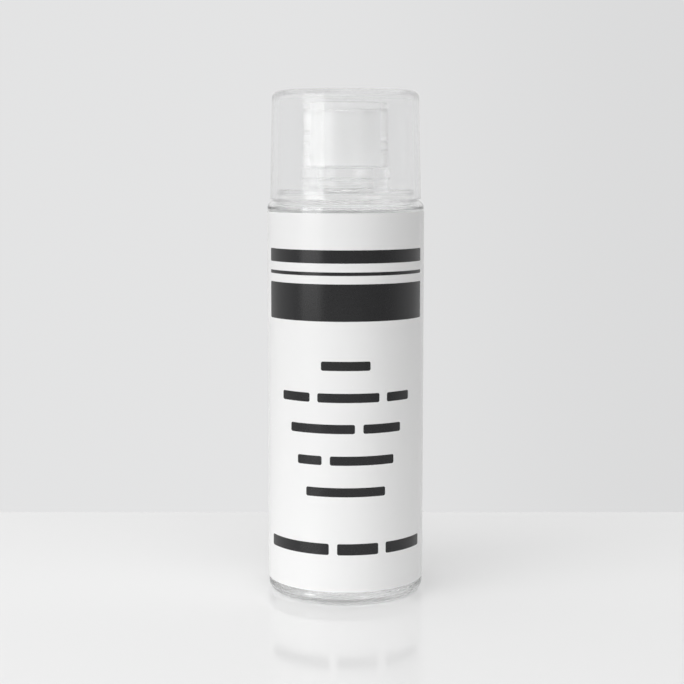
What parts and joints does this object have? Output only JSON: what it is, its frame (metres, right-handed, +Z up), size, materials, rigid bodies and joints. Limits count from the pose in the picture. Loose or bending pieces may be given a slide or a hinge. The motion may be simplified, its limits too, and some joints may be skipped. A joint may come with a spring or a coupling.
{
  "type": "nail polish remover bottle",
  "caption": "Clear cylindrical bottle with a wrap label, a drip insert in its neck, a lined screw cap and a clear pull-off overcap on the shoulder step.",
  "frame": {"origin": "centre of the foot, on the surface that the bottle stands on", "axes": "+Z up along the bottle's axis, -Y towards the front of the label, +X to the viewer's right"},
  "size_m": [0.042, 0.042, 0.1343],
  "materials": {
    "clear_body": "clear, blow-moulded, polished",
    "label_film": "glossy white film with plain black print",
    "liquid": "clear, colourless liquid",
    "insert_plastic": "natural, satin",
    "liner_foam": "white closed-cell foam",
    "natural_cap": "natural translucent, smooth",
    "clear_overcap": "clear, injection-moulded, polished"
  },
  "bodies": {
    "bottle": {"bottle": "clear_body", "label": "label_film", "remover_liquid": "liquid", "orifice_reducer": "insert_plastic"},
    "liner": {"cap_liner": "liner_foam"},
    "cap": {"screw_cap": "natural_cap"},
    "overcap": {"overcap": "clear_overcap"}
  },
  "joints": [
    {"name": "cap_rise", "type": "slide", "parent": "bottle", "child": "liner", "axis": [0, 0, 1], "range_m": [0, 0.0075]},
    {"name": "cap_turn", "type": "hinge", "parent": "liner", "child": "cap", "pos_m": [0, 0, 0.1143], "axis": [0, 0, 1], "range_deg": [0, 900]},
    {"name": "overcap_lift", "type": "slide", "parent": "cap", "child": "overcap", "axis": [0, 0, 1], "range_m": [0, 0.03]}
  ],
  "couplings": [
    {"joint": "cap_rise", "follows": "cap_turn", "m_per_rad": 0.00047746}
  ]
}
